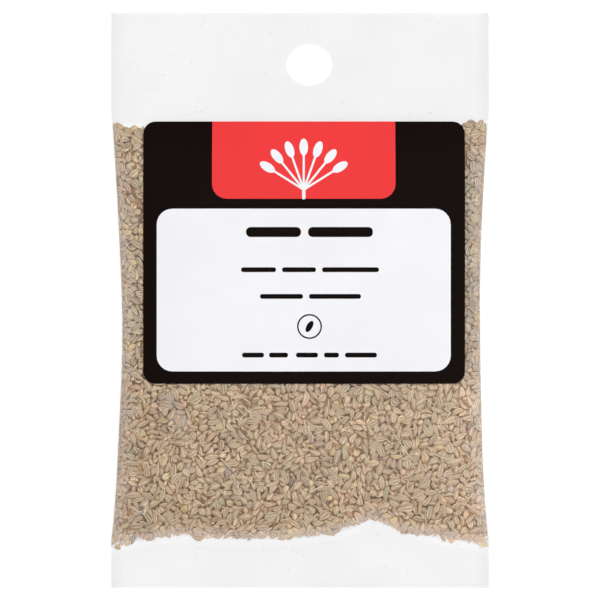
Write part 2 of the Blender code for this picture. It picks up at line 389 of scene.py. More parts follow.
def tube(rings, around, first=0):
    """The quads between rings of points that follow each other."""
    starts = [(first + ring * around, k) for ring in range(rings - 1) for k in range(around)]
    corners = [(start + k, start + (k + 1) % around) for start, k in starts]
    return [(a, b, b + around, a + around) for a, b in corners]


def turned(profile, around, cut=None):
    """A seed of unit size along X, with a rib at every other step round, or its half above the cut.

    The grain is place along the seed, rib (or on the cut face, place across it) and kind of surface.
    """
    points, grain = [], []
    for place, radius in profile:
        for k in range(around):
            angle = 2 * pi * k / around
            rib = 1.0 - k % 2
            out = radius * (1.0 if rib else VALLEY)
            flat = cut is not None and sin(angle) < cut
            points.append((place, out * cos(angle), radius * cut if flat else out * sin(angle)))
            grain.append((place, abs(cos(angle)) if flat else rib, CUT_FACE if flat else OUTSIDE))
    faces = tube(len(profile), around)
    start, end = len(points), len(points) + 1
    points += [(0.0, 0.0, 0.0), (1.0, 0.0, 0.0)]
    grain += [(0.0, 0.5, OUTSIDE), (1.0, 0.5, OUTSIDE)]
    last = (len(profile) - 1) * around
    for k in range(around):
        after = (k + 1) % around
        faces += [(start, after, k), (last + k, last + after, end)]
    return np.array(points), faces, np.array(grain)


def with_stalk(points, faces, grain):
    """Adds the thin, gently bent stalk that some seeds keep at their broad end."""
    sides, rings = 5, 5
    root, length, radius, taper, bend = 0.04, 0.6, 0.15, 0.4, 0.6
    base, stalk = len(points), []
    for s in np.linspace(0, 1, rings):
        thick = radius * (1 - taper * s)
        for a in 2 * pi * np.arange(sides) / sides:
            stalk.append((root - length * s, bend * s**2 + thick * cos(a), thick * sin(a)))
    faces = faces + [face[::-1] for face in tube(rings, sides, base)]
    faces += [tuple(range(base + (rings - 1) * sides, base + rings * sides))]
    grain = np.concatenate((grain, np.tile((0.5, 1.0, STALK), (len(stalk), 1))))
    return np.concatenate((points, np.array(stalk))), faces, grain


class Seeds:
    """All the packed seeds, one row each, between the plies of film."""

    def __init__(self, centres, axes, ups, lengths, widths, front, back):
        self.centres, self.axes, self.ups, self.lengths, self.widths = centres, axes, ups, lengths, widths
        count = len(centres)
        self.tints_and_light = rng.random((count, 3))
        self.bends, self.twists = rng.uniform(-0.5, 0.5, (2, count))
        self.bulges = rng.uniform(0.0, 0.22, count)
        self.phases = rng.uniform(0.0, 2 * pi, (count, 2))
        self.film, self.back, self.skin = self.draped(front), back, seed_skin()

    def draped(self, front):
        """The front film's height: drawn tight over the seeds' tops, bridging the gaps between them."""
        balls = chained(self.centres, self.axes, self.lengths[:, None] * BALL_PLACES)
        radii = (self.widths[:, None] / 2 * BALL_SIZES).ravel()
        grid_x, grid_y = Field.grid()
        xs, ys = grid_x[0], grid_y[:, 0]
        column = np.rint((balls[:, 0] - xs[0]) / FIELD_STEP).astype(int)
        row = np.rint((balls[:, 1] - ys[0]) / FIELD_STEP).astype(int)
        tops = np.zeros_like(front.heights)
        for i in range(-2, 3):
            for j in range(-2, 3):
                r, c = np.clip(row + i, 0, len(ys) - 1), np.clip(column + j, 0, len(xs) - 1)
                away = (xs[c] - balls[:, 0]) ** 2 + (ys[r] - balls[:, 1]) ** 2
                over = away < radii**2
                top = balls[:, 2] + np.sqrt(np.where(over, radii**2 - away, 0.0))
                np.maximum.at(tops, (r[over], c[over]), top[over])
        tops = spread(spread(tops, 2, np.maximum), 2, np.minimum)
        filled = clamp(3.0 * fullness(grid_x, grid_y))
        film = np.clip(tops, front.heights - FILM_DIP * filled, front.heights) + FILM_LIFT * filled
        return Field(film).softened(2)

    def pressed(self, places):
        """The places moved to stay inside the film."""
        x, y, z = places.T
        side = half_width(y) - SIDE_GAP
        x = np.clip(x, -side, side)
        z = np.minimum(np.maximum(z, self.back.at(x, y) + SKIN_GAP), self.film.at(x, y) - SKIN_GAP)
        return np.stack((settled(x, y), y, z), -1)

    def piece(self, name, shape, chosen, slim=1.0, curl=1.0):
        """One mesh of the chosen seeds, each placed, sized, bent, twisted, dented and tinted on its own,
        the tint carrying painted light and shade.
        """
        points, faces, grain = shape
        pick = np.flatnonzero(chosen)
        size, count = len(points), len(pick)
        place, side, rise = points.T
        half = self.widths[pick, None] / 2 * SEED_PRESS * slim
        swell = [
            1.0 + self.bulges[pick, None] * np.cos(2 * pi * place * (1 + k) + self.phases[pick, k, None])
            for k in (0, 1)
        ]
        turn = self.twists[pick, None] * (place - 0.5)
        across = side * np.cos(turn) - rise * np.sin(turn)
        thick = side * np.sin(turn) + rise * np.cos(turn)
        across = half * (across * swell[0] + curl * self.bends[pick, None] * ((2 * place - 1) ** 2 - 0.4))
        thick = half * SEED_FLATNESS * thick * swell[1]
        along = (place - 0.5) * self.lengths[pick, None]
        axes, ups = self.axes[pick, None], self.ups[pick, None]
        places = self.centres[pick, None] + axes * along[..., None] + ups * thick[..., None]
        places = places + np.cross(ups, axes) * across[..., None]
        mesh = joined_mesh(name, self.pressed(places.reshape(-1, 3)), faces, size, count)
        carry(mesh, "grain", np.tile(grain, (count, 1)))
        carry(mesh, "tint_and_light", np.repeat(self.tints_and_light[pick], size, axis=0))
        add_piece(name, mesh, [self.skin])


def spread(values, reach, combine):
    """Each cell combined with its neighbours within reach, along rows and then columns."""
    for axis in (0, 1):
        found = values.copy()
        for step in range(1, reach + 1):
            for way in (-step, step):
                found = combine(found, np.roll(values, way, axis))
        values = found
    return values


def joined_mesh(name, places, faces, size, count):
    """A mesh of count copies of the same faces over size points each."""
    corners = np.array([k for face in faces for k in face])
    loops = (corners + np.arange(count)[:, None] * size).ravel()
    starts = np.concatenate(([0], np.cumsum(np.tile([len(face) for face in faces], count))[:-1]))
    mesh = bpy.data.meshes.new(name)
    mesh.vertices.add(len(places))
    mesh.vertices.foreach_set("co", places.astype(np.float32).ravel())
    mesh.loops.add(len(loops))
    mesh.loops.foreach_set("vertex_index", loops.astype(np.int32))
    mesh.polygons.add(len(starts))
    mesh.polygons.foreach_set("loop_start", starts.astype(np.int32))
    mesh.update(calc_edges=True)
    mesh.shade_smooth()
    return mesh


def carry(mesh, name, vectors):
    """Gives each vertex a vector for the material to read."""
    layer = mesh.attributes.new(name, "FLOAT_VECTOR", "POINT")
    layer.data.foreach_set("vector", vectors.astype(np.float32).ravel())


def new_object(name, data):
    thing = bpy.data.objects.new(name, data)
    bpy.context.scene.collection.objects.link(thing)
    return thing


def add_piece(name, mesh, skins, node="bag"):
    for skin in skins:
        mesh.materials.append(skin)
    piece = new_object(name, mesh)
    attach(piece, "root")
    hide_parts(node)


# -------- sheets


def subdivided(loop, spacing):
    """The loop with points added so that no side is longer than spacing."""
    points = []
    for (x0, y0), (x1, y1) in zip(loop, loop[1:] + loop[:1]):
        steps = max(1, ceil(hypot(x1 - x0, y1 - y0) / spacing))
        points += [(x0 + (x1 - x0) * k / steps, y0 + (y1 - y0) * k / steps) for k in range(steps)]
    return points


def triangulate(loops, spacing, inside):
    """A flat triangle net over the area that inside() accepts, with every loop as edges of the net."""
    points, edges = [], []
    for loop in loops:
        loop = subdivided(loop, spacing)
        first = len(points)
        points += loop
        edges += [(first + k, first + (k + 1) % len(loop)) for k in range(len(loop))]
    outline = np.array(points)
    low, high = outline.min(0), outline.max(0)
    rows = int((high[1] - low[1]) / spacing)
    for row in range(1, rows):
        y = low[1] + (high[1] - low[1]) * row / rows
        xs = np.arange(low[0] + spacing * (0.5 + row % 2 / 2), high[0], spacing)
        xs = xs[inside(xs, np.full_like(xs, y))]
        near = outline[np.abs(outline[:, 1] - y) < spacing]
        if len(near) and len(xs):
            xs = xs[np.hypot(xs[:, None] - near[:, 0], y - near[:, 1]).min(1) > 0.5 * spacing]
        points += [(x, y) for x in xs]
    found = delaunay_2d_cdt([Vector(p) for p in points], edges, [], 0, 1e-9)
    flat = np.array([tuple(p) for p in found[0]])
    faces = np.array(found[2])
    middle = flat[faces].mean(1)
    faces = faces[inside(middle[:, 0], middle[:, 1])]
    used = np.unique(faces)
    return flat[used], np.searchsorted(used, faces)


def closed_sheet(name, flat, faces, lower, upper):
    """A closed thin body between two heights over the same flat net. Its upper faces come first."""
    count = len(flat)
    places = np.concatenate((np.column_stack((flat, upper)), np.column_stack((flat, lower))))
    sides = np.concatenate([faces[:, [k, (k + 1) % 3]] for k in range(3)])
    keys = np.sort(sides, axis=1) @ np.array((count, 1))
    _, where, times = np.unique(keys, return_index=True, return_counts=True)
    rim = sides[where[times == 1]]
    walls = np.column_stack((rim[:, 1], rim[:, 0], rim[:, 0] + count, rim[:, 1] + count))
    every = faces.tolist() + (faces[:, ::-1] + count).tolist() + walls.tolist()
    mesh = bpy.data.meshes.new(name)
    mesh.from_pydata(places.tolist(), [], every)
    mesh.shade_smooth()
    mesh.set_sharp_from_angle(angle=radians(60))
    return mesh


def rounded(centre, size, corners, segments=6):
    """A rectangle's loop with its corners rounded: one radius, or one each from the top right round."""
    if not isinstance(corners, tuple):
        corners = (corners,) * 4
    points = []
    for k, (radius, sx, sy) in enumerate(zip(corners, (1, -1, -1, 1), (1, 1, -1, -1))):
        x = centre[0] + sx * (size[0] / 2 - radius)
        y = centre[1] + sy * (size[1] / 2 - radius)
        for step in range(segments + 1 if radius > 0 else 1):
            angle = pi / 2 * (k + step / segments)
            points.append((x + radius * cos(angle), y + radius * sin(angle)))
    return points


def oval(centre, radii, heading=0.0, segments=32):
    """An ellipse's loop, its first radius along the heading."""
    c, s = cos(heading), sin(heading)
    points = []
    for k in range(segments):
        angle = 2 * pi * k / segments
        along, aside = radii[0] * cos(angle), radii[1] * sin(angle)
        points.append((centre[0] + along * c - aside * s, centre[1] + along * s + aside * c))
    return points


def holds(loop, x, y):
    """Whether each point lies inside the loop, by the crossings of a ray."""
    inside = np.zeros(np.shape(x), bool)
    for (x0, y0), (x1, y1) in zip(loop, loop[1:] + loop[:1]):
        if y0 != y1:
            inside ^= ((y0 > y) != (y1 > y)) & (x < (x1 - x0) * (y - y0) / (y1 - y0) + x0)
    return inside


# -------- materials


def linear(*levels):
    """An sRGB colour of 0 to 255 as Blender's linear colour."""
    shares = [level / 255 for level in levels]
    return tuple(s / 12.92 if s <= 0.04045 else ((s + 0.055) / 1.055) ** 2.4 for s in shares) + (1.0,)


class Graph:
    """A material's node graph, made by short calls."""

    def __init__(self, name, kind="materials"):
        self.material = getattr(bpy.data, kind).new(name)
        self.material.use_nodes = True
        self.tree = self.material.node_tree
        self.tree.nodes.clear()

    def add(self, kind, inputs=None, **settings):
        """Adds a node, sets and links its inputs, and gives its outputs."""
        node = self.tree.nodes.new("ShaderNode" + kind)
        for key, value in settings.items():
            setattr(node, key, value)
        for key, value in (inputs or {}).items():
            if isinstance(value, bpy.types.NodeSocket):
                self.tree.links.new(value, node.inputs[key])
            else:
                node.inputs[key].default_value = value
        return node.outputs

    def math(self, operation, a, b=0.0, c=0.0):
        return self.add("Math", {0: a, 1: b, 2: c}, operation=operation)[0]

    def fold(self, operation, value, others):
        for other in others:
            value = self.math(operation, value, other)
        return value

    def times(self, value, *others):
        return self.fold("MULTIPLY", value, others)

    def most(self, value, *others):
        return self.fold("MAXIMUM", value, others)

    def split(self, vector):
        return self.add("SeparateXYZ", {0: vector})

    def carried(self, name):
        """The three numbers that the mesh carries under this name."""
        return self.split(self.add("Attribute", attribute_name=name)["Vector"])

    def mix(self, share, a, b, blend="MIX"):
        return self.add("Mix", {0: share, 6: a, 7: b}, data_type="RGBA", blend_type=blend)[2]

    def layered(self, colour, *layers):
        """The colour with others laid over it, each given as its share and its sRGB levels."""
        for share, *levels in layers:
            colour = self.mix(share, colour, linear(*levels))
        return colour

    def span(self, value, low, high, out_low=0.0, out_high=1.0):
        inputs = {0: value, 1: low, 2: high, 3: out_low, 4: out_high}
        return self.add("MapRange", inputs, interpolation_type="SMOOTHSTEP")[0]

    def place(self):
        return self.add("TexCoord")["Object"]

    def noise(self, scale, detail=2.0, roughness=0.5):
        inputs = {"Vector": self.place(), "Scale": scale, "Detail": detail, "Roughness": roughness}
        return self.add("TexNoise", inputs)["Fac"]

    def ramp(self, value, stops):
        colour = self.add("ValToRGB", {0: value})["Color"]
        band = colour.node.color_ramp.elements
        while len(band) < len(stops):
            band.new(0.5)
        for element, (place, *levels) in zip(band, stops):
            element.position, element.color = place, linear(*levels)
        return colour

    def bump(self, height, strength, distance):
        inputs = {"Strength": strength, "Distance": distance, "Height": height}
        return self.add("Bump", inputs)[0]

    def matt(self, colour, roughness, specular, normal):
        inputs = {"Base Color": colour, "Roughness": roughness, "Normal": normal}
        inputs["Specular IOR Level"] = specular
        return self.add("BsdfPrincipled", inputs)[0]

    def end(self, shader):
        self.add("OutputMaterial", {"Surface": shader})
        return self.material


def seed_skin():
    """A seed: pale ribs along it, a dark tip, a cut face with a pale rim, a tint of its own, and painted
    light and shade.
    """
    g = Graph("seed_skin")
    place, ribbing, kind = g.carried("grain")
    colour, paleness_and_light, _ = g.carried("tint_and_light")
    along = g.times(g.span(place, 0.02, 0.14), g.span(place, 1.0, 0.86))
    speckle = g.noise(1500.0, 3.0, 0.65)
    own = g.ramp(colour, (
        (0.00, 208, 195, 157), (0.06, 210, 186, 151), (0.22, 217, 190, 161),
        (0.42, 202, 174, 145), (0.60, 216, 190, 161), (0.74, 198, 172, 141),
        (0.86, 211, 181, 158), (0.92, 194, 180, 153), (0.96, 225, 197, 147),
        (0.985, 208, 166, 137), (1.0, 140, 126, 115),
    ))
    groove, rib = g.span(ribbing, 0.55, 0.2), g.span(ribbing, 0.6, 1.0)
    shade = g.layered(
        own,
        (g.span(speckle, 0.35, 0.72, 0.0, 0.30), 162, 134, 106),
        (g.times(groove, along, 0.28), 142, 113, 86),
        (g.times(rib, along, 0.60), 232, 211, 186),
    )
    # The cut face is darker, with a pale rim and a pale line down its middle
    pale = g.most(g.span(ribbing, 0.62, 0.84), g.span(ribbing, 0.18, 0.05))
    inner = g.mix(pale, g.layered(own, (0.50, 134, 106, 80)), g.layered(own, (0.54, 235, 218, 195)))
    ends = g.most(g.span(place, 0.88, 0.96), g.span(place, 0.05, 0.0))
    shade = g.layered(
        g.mix(g.span(kind, 0.2, -0.6), shade, inner),
        (g.times(ends, 0.32), 124, 96, 70),
        (g.span(kind, 1.5, 2.5), 230, 210, 174),
    )
    # Painted light and shade: the seed's own paleness plus the painted light and shade of where it lies,
    # times broad blotches of painted light and shade
    light = g.math("MULTIPLY_ADD", paleness_and_light, 0.14, 0.882)
    light = g.times(light, g.span(g.noise(230.0, 1.0), 0.3, 0.7, 0.94, 1.06))
    shade = g.mix(1.0, shade, g.add("CombineXYZ", {0: light, 1: light, 2: light})[0], "MULTIPLY")
    return g.end(g.matt(shade, 0.62, 0.12, g.bump(speckle, 0.4, 0.07 * MM)))


def stalk_skin():
    g = Graph("stalk_skin")
    streak = g.noise(900.0)
    shade = g.mix(streak, linear(246, 232, 203), linear(225, 203, 166))
    return g.end(g.matt(shade, 0.6, 0.25, g.bump(streak, 0.3, 0.05 * MM)))


def core_skin():
    """What shows between the seeds: seed-coloured domes, with painted shade towards their edges."""
    g = Graph("seed_core")
    cells = g.add("TexVoronoi", {"Vector": g.place(), "Scale": 560.0})["Distance"]
    # Painted shade: darker towards the cell edges between the domes
    shade = g.ramp(cells, ((0.0, 232, 198, 160), (0.45, 214, 178, 140), (0.8, 178, 143, 108)))
    domes = g.math("SUBTRACT", 1.0, cells)
    return g.end(g.matt(shade, 0.7, 0.2, g.bump(domes, 0.7, 0.5 * MM)))


def film_skin():
    """Clear film with a glossy skin, a milky haze and seal lines, and painted light and shade in its haze
    and in the light it lets through.

    Lay is millimetres from the side, past the heap's ends and from the bottom edge. Slack is how loose the
    film is, how far to the lower right and how far below the heap's top, from 0 to 1.
    """
    g = Graph("clear_film")
    side, past, height = g.carried("lay")
    loose, to_right, below_top = g.carried("slack")
    over_heap = g.span(past, 0.0, -2.0)
    facing = g.add("LayerWeight", {"Blend": 0.5})["Facing"]
    gloss = g.math("MULTIPLY_ADD", g.math("POWER", facing, 5.0), 0.42, 0.006)
    ripple = g.math("MULTIPLY_ADD", g.noise(750.0), 0.25, g.noise(170.0, 3.0))
    normal = g.bump(ripple, 0.22, 0.5 * MM)
    shine = g.add("BsdfGlossy", {"Color": (1, 1, 1, 1), "Roughness": 0.16, "Normal": normal})[0]

    # The light that comes through, by place, with painted light and shade
    clouds = g.span(g.noise(38.0, 3.0, 0.6), 0.35, 0.65)
    # Masks of painted shade: beside the label, and at the heap's side brinks
    upper = g.times(below_top, g.span(height, 52.0, 60.0), over_heap)
    brink = g.times(g.span(side, 1.1, 0.3), g.span(past, 0.0, -1.0))
    through = g.layered(
        linear(245.2, 245.2, 245.2),
        (clouds, 246.8, 246.8, 246.8),
        (g.span(side, 4.0, 0.0), 243, 243, 243),
        # Painted light near the heap's ends and over it
        (g.span(past, 4.0, 0.0, 0.0, 0.45), 251.8, 253.6, 254.2),
        # Painted shade beside the label
        (upper, 249.6, 252.4, 254.2),
        # Painted shade at the heap's side brinks
        (brink, 240.5, 245.0, 248.0),
    )
    clear = g.add("BsdfTransparent", {"Color": through})[0]

    # The haze, with painted light and painted reflection: all over, in loose patches, down the sides and
    # along the heap's lower rim
    def grain(scale, roughness):
        return g.span(g.noise(scale, 3.0, roughness), 0.36, 0.64, 0.03, 0.16)

    across = g.split(g.place())[0]
    # Painted light: a thin veil of haze that grows towards +X
    veil = g.span(across, -0.045, 0.045, 0.003, 0.015)
    # Milky patches where the film is loose, partly painted reflection
    loose = g.math("MULTIPLY_ADD", g.noise(130.0), 0.8, g.math("SUBTRACT", loose, 0.4))
    patches = g.times(g.span(loose, 0.3, 0.8), grain(420.0, 0.6))
    # Painted light down the sides, more to the lower right, at their rims and along the heap's lower rim
    more_right = g.math("MULTIPLY_ADD", to_right, 0.3, 1.1)
    sides = g.times(g.span(side, 6.5, 0.5), below_top, over_heap, more_right, grain(300.0, 0.65))
    rim = g.times(g.span(side, 3.0, 0.2, 0.0, 0.07), over_heap, below_top)
    lower_rim = g.times(g.span(past, -3.0, -0.5, 0.0, 0.22), g.span(past, 0.8, 0.1), below_top)
    patches = g.most(patches, g.math("ADD", sides, rim), lower_rim)

    # Broken lines where the plies are sealed and where they meet, fine wrinkles, and glints
    seam = g.times(g.math("COMPARE", height, SEAM_LINE / MM, 0.13), 0.09)
    crease = g.times(g.math("COMPARE", past, CREASE_LINE / MM, 0.14), 0.05)
    lines = g.times(g.most(seam, crease), g.span(g.noise(34.0), 0.46, 0.60))
    wrinkle = g.times(g.math("COMPARE", g.noise(75.0), 0.5, 0.005), g.span(g.noise(160.0), 0.52, 0.62))
    lines = g.most(lines, g.times(wrinkle, g.span(past, 0.0, 3.0, 0.0, 0.035)))
    away = g.add("TexVoronoi", {"Vector": g.place(), "Scale": 250.0})["Distance"]
    glint = g.span(away, 0.065, 0.03)
    haze = g.most(g.math("ADD", patches, veil), lines, g.times(glint, 0.6))
    milky = g.mix(glint, (0.80, 0.78, 0.81, 1.0), (0.98, 0.98, 0.98, 1.0))
    milk = g.add("BsdfDiffuse", {"Color": milky})[0]
    body = g.add("MixShader", {0: haze, 1: clear, 2: milk})[0]
    return g.end(g.add("MixShader", {0: gloss, 1: body, 2: shine})[0])


def print_skin(name, colour):
    """One field of the label's print: ink on smooth paper."""
    g = Graph(name)
    worn = tuple(c * 0.97 for c in colour[:3]) + (1.0,)
    shade = g.mix(g.span(g.noise(55.0), 0.3, 0.7), colour, worn)
    return g.end(g.matt(shade, 0.5, 0.02, g.bump(g.noise(1200.0, 3.0), 0.1, 0.05 * MM)))


# -------- the packet


def lower_part(y):
    return smooth(-17 * MM, -25 * MM, y)


def painted_light_and_shade(x, y, below, bare, in_front):
    """Painted light and shade: how much paler or darker a seed is made by where it lies, in steps of its
    own paleness.
    """
    side, low = from_side(x, y), lower_part(y)
    # Painted light: paler deep in the gaps, to the lower right, and along the side and lower rims
    gaps = 2.3 * smooth(0.6 * MM, 2.0 * MM, below) * bare
    right = low * (0.25 + smooth(38 * MM, 44 * MM, x) + 0.3 * x / (50 * MM))
    side_rims = 0.9 * smooth(4.0 * MM, 1.2 * MM, side - 0.8 * MM * low)
    lower_rim = 1.7 * smooth(4.0 * MM, 0.8 * MM, y - fill_edge(x))
    # Painted shade: darker along the right side in the lower part
    brink = 1.2 * low * (x > 0) * smooth(1.3 * MM, 0.5 * MM, side)
    # Painted shade: the seeds just to the label's right are made darker
    shaded = 0.4 + 0.9 * smooth(2.6 * MM, 1.0 * MM, beyond_label(x, y))
    shaded = shaded * (x > 0) * bare * in_front * (1.0 - low)
    return gaps + right + np.maximum(side_rims, lower_rim) - brink - shaded


def make_seeds():
    """All the seeds, and the fields of the pouch that they fill."""
    centres, axes, lengths, widths, front, back = pack_seeds()
    x, y, z = centres.T
    up, down = front.normal(x, y), back.normal(x, y)
    below = (front.at(x, y) - z) * up[:, 2]
    above = (z - back.at(x, y)) * down[:, 2]
    # The flat of a seed near the film lies along it
    ups = np.where((below < above)[:, None], up, down) + 0.6 * unit(rng.normal(size=(SEED_COUNT, 3)))
    ups = unit(ups - axes * (ups * axes).sum(1, keepdims=True))
    bare = beyond_label(x, y) > -2.0 * MM
    top = bare & (below < TOP_DEPTH)
    under = bare & (below < FRONT_DEPTH) & ~top
    edge = from_side(x, y) < SIDE_DEPTH
    behind = ((above < BACK_DEPTH) | edge) & ~(top | under)

    # A seed has its stalk only where the stalk's end stays in the heap
    end_x, end_y, end_z = (centres - axes * lengths[:, None] * 1.15).T
    fits = (from_side(end_x, end_y) > 1.0 * MM) & (end_z < front.at(end_x, end_y))
    fits &= (end_y > fill_edge(end_x)) & (end_y < heap_top(end_x))
    kind = rng.random(SEED_COUNT)
    stalked = fits & (kind > 0.88)
    half = ~stalked & (kind > 0.56)
    slender = kind < 0.14
    whole = ~(stalked | half | slender)
    # Two halves in three lie with their cut face out, close to the film
    turned_out = half & (rng.random(SEED_COUNT) < 0.66)
    lift = np.where(turned_out, 0.45 * widths / 2, 0.0)
    centres = centres + ups * lift[:, None]
    ups = np.where(turned_out[:, None], -ups, ups)
    seeds = Seeds(centres, axes, ups, lengths, widths, front, back)
    pointed = seeds.tints_and_light[:, 2] < 0.55
    # Painted light and shade by where each seed lies
    seeds.tints_and_light[:, 1] += painted_light_and_shade(x, y, below, bare, below < above)

    for name, shape, chosen, *slim_and_curl in (
        ("seeds_whole", turned(TEARDROP, 12), top & whole & pointed),
        ("seeds_oval", turned(OVAL, 12), top & whole & ~pointed),
        ("seeds_half", turned(OVAL, 12, HALF_CUT), top & half),
        ("seeds_slender", turned(TEARDROP, 12), top & slender, 0.7, 2.4),
        ("seeds_stalked", with_stalk(*turned(TEARDROP, 12)), top & stalked),
        ("seeds_under", turned(PLAIN, 8), under),
        ("seeds_behind_whole", turned(PLAIN, 10), behind & ~half),
        ("seeds_behind_half", turned(PLAIN, 10, HALF_CUT), behind & half),
    ):
        seeds.piece(name, shape, chosen, *slim_and_curl)
    return seeds, front, back


STRAND_FLATNESS, STRAND_REACH = 0.4, 48 * MM


def make_strands(name, count, lengths, radii, bend, skin, film):
    """Thin curved bits among the seeds, just under the bare film."""
    sides, steps = 5, 8
    ring = 2 * pi * np.arange(sides) / sides
    share = np.linspace(0, 1, steps)
    places = []
    while len(places) < count:
        x, y = rng.uniform(-STRAND_REACH, STRAND_REACH), rng.uniform(PLATEAU + 2 * MM, FILL_TOP - 2 * MM)
        heading, turn = rng.uniform(0, 2 * pi), rng.normal(0, bend)
        length, radius = rng.uniform(*lengths), rng.uniform(*radii)
        angle = heading + turn * share
        step = length / (steps - 1)
        px = x + np.concatenate(([0], np.cumsum(np.cos(angle[:-1])))) * step
        py = y + np.concatenate(([0], np.cumsum(np.sin(angle[:-1])))) * step
        room = np.minimum(from_side(px, py) - 1 * MM, beyond_label(px, py) - 0.5 * MM)
        if min(room.min(), (py - fill_edge(px)).min() - 1 * MM, (heap_top(px) - 1 * MM - py).min()) < 0:
            continue
        thick = radius * (1 - 0.5 * share)
        pz = film.at(px, py) - SKIN_GAP - rng.uniform(0.0, 0.02) * MM
        aside = np.stack((-np.sin(angle), np.cos(angle), np.zeros(steps)), -1)
        centre = np.stack((px, py, pz), -1)[:, None]
        across = aside[:, None] * (np.cos(ring) * thick[:, None])[..., None]
        rise = np.array((0, 0, STRAND_FLATNESS)) * (np.sin(ring) * thick[:, None])[..., None]
        strand = (centre + across + rise).reshape(-1, 3)
        strand[:, 0] = settled(strand[:, 0], strand[:, 1])
        places.append(strand)
    ends = [tuple(range(sides))[::-1], tuple(range((steps - 1) * sides, steps * sides))]
    mesh = joined_mesh(name, np.concatenate(places), tube(steps, sides) + ends, sides * steps, count)
    add_piece(name, mesh, [skin])


def make_stalks(film):
    skin = stalk_skin()
    make_strands("stalks", 24, (3.5 * MM, 7.5 * MM), (0.11 * MM, 0.18 * MM), 0.9, skin, film)
    make_strands("slivers", 90, (1.2 * MM, 2.6 * MM), (0.12 * MM, 0.24 * MM), 0.5, skin, film)


CORE_TO_SIDE, CORE_TO_TOP, CORE_TO_BOTTOM, CORE_TO_BACK = 0.22 * MM, 1.6 * MM, 2.6 * MM, 1.6 * MM
CORE_TO_FRONT, CORE_DEEPER = 0.5 * MM, 1.9 * MM  # behind the label, and how much more beside it


def make_core(front, back):
    """A body inside the outer seeds, so that no light comes through the heap."""
    columns, rows = 70, 80
    u, v = np.meshgrid(np.linspace(-1, 1, columns), np.linspace(0, 1, rows))
    low = fill_edge(u * BAG_SIDE) + CORE_TO_BOTTOM
    high = heap_top(u * BAG_SIDE) - CORE_TO_TOP
    y = low + (high - low) * v
    x = u * (half_width(y) - CORE_TO_SIDE)
    a = (np.arange(rows - 1)[:, None] * columns + np.arange(columns - 1)).ravel()
    b = a + columns + 1
    faces = np.concatenate((np.column_stack((a, a + 1, b)), np.column_stack((a, b, b - 1))))
    x, y = x.ravel(), y.ravel()
    bare = smooth(-4 * MM, -1.5 * MM, beyond_label(x, y))
    top = front.at(x, y) - (CORE_TO_FRONT + CORE_DEEPER * bare)
    bottom = back.at(x, y) + CORE_TO_BACK
    middle = (top + bottom) / 2
    bottom, top = np.minimum(bottom, middle - 0.1 * MM), np.maximum(top, middle + 0.1 * MM)
    mesh = closed_sheet("seed_core", np.column_stack((settled(x, y), y)), faces, bottom, top)
    add_piece("seed_core", mesh, [core_skin()])


def on_packet(x, y, pixel=PIXEL):
    """The place on the packet of a point in the photograph, across and down in its pixels."""
    return (x - PHOTO_SIDE / 2) * pixel, (PHOTO_SIDE / 2 + 0.5 - y) * pixel


# Where the film stands off the seeds, with a milky haze that is partly painted reflection: place in the
# photograph, and radius in millimetres
LOOSE_SPOTS = (
    (166, 401, 3.4), (178, 422, 3.6), (139, 507, 2.8), (128, 412, 2.6), (190, 470, 1.8), (228, 468, 2.0),
    (248, 506, 1.6), (380, 430, 1.8), (473, 448, 2.8), (451, 488, 1.8),
)


FILM_NET, LABEL_NET = 1.0 * MM, 1.6 * MM  # how far apart the points of their nets lie
SWAY, SWAY_ACROSS, SWAY_ALONG = 0.22 * MM, 9.5 * MM, 7 * MM  # of the empty film, which isn't quite flat


def make_film(film, back):
    """The clear film: front and back ply, with the hang hole through both."""
    outline = rounded((0.0, 0.0), (BAG_WIDTH, BAG_LENGTH), 0.0)
    hole = oval(HOLE_CENTRE, HOLE_RADII, segments=48)
    flat, faces = triangulate([outline, hole], FILM_NET, lambda u, y: ~holds(hole, u, y))
    u, y = flat.T
    x = u * half_width(y) / BAG_SIDE
    rim = np.abs(u) > BAG_SIDE - 0.01 * MM
    upper = np.where(rim, seam_height(y) + FILM_PLIES / 2, film.at(x, y))
    lower = np.where(rim, upper - FILM_PLIES, np.minimum(back.at(x, y), upper - 0.1 * MM))
    sway = SWAY * np.sin(x / SWAY_ACROSS + 0.8) * np.sin(y / SWAY_ALONG)
    sway = sway * smooth(0.5, 0.0, fullness(x, y)) * smooth(0.0, 3 * MM, BAG_END - np.abs(y))
    mesh = closed_sheet("film", np.column_stack((settled(x, y), y)), faces, lower + sway, upper + sway)
    past = np.maximum(4.0 * (y - heap_top(x)), fill_edge(x) - y)
    lay = np.column_stack((from_side(x, y), past, y + BAG_END)) / MM
    carry(mesh, "lay", np.tile(lay, (2, 1)))
    spots = [(*on_packet(right, down), radius * MM) for right, down, radius in LOOSE_SPOTS]
    loose = np.max([bell(x, px, radius) * bell(y, py, radius) for px, py, radius in spots], axis=0)
    to_right = smooth(-20 * MM, 35 * MM, x) * lower_part(y)
    below_top = 0.1 + 0.9 * smooth(2 * MM, 16 * MM, heap_top(x) - y)
    slack = np.column_stack((loose, to_right, below_top))
    carry(mesh, "slack", np.tile(slack, (2, 1)))
    add_piece("film", mesh, [film_skin()])


LABEL_PIXEL = PIXEL * (1.0 - (LABEL_HIGH[2] - SIDE_SEAM) / CAMERA_HEIGHT)  # the label is nearer the camera
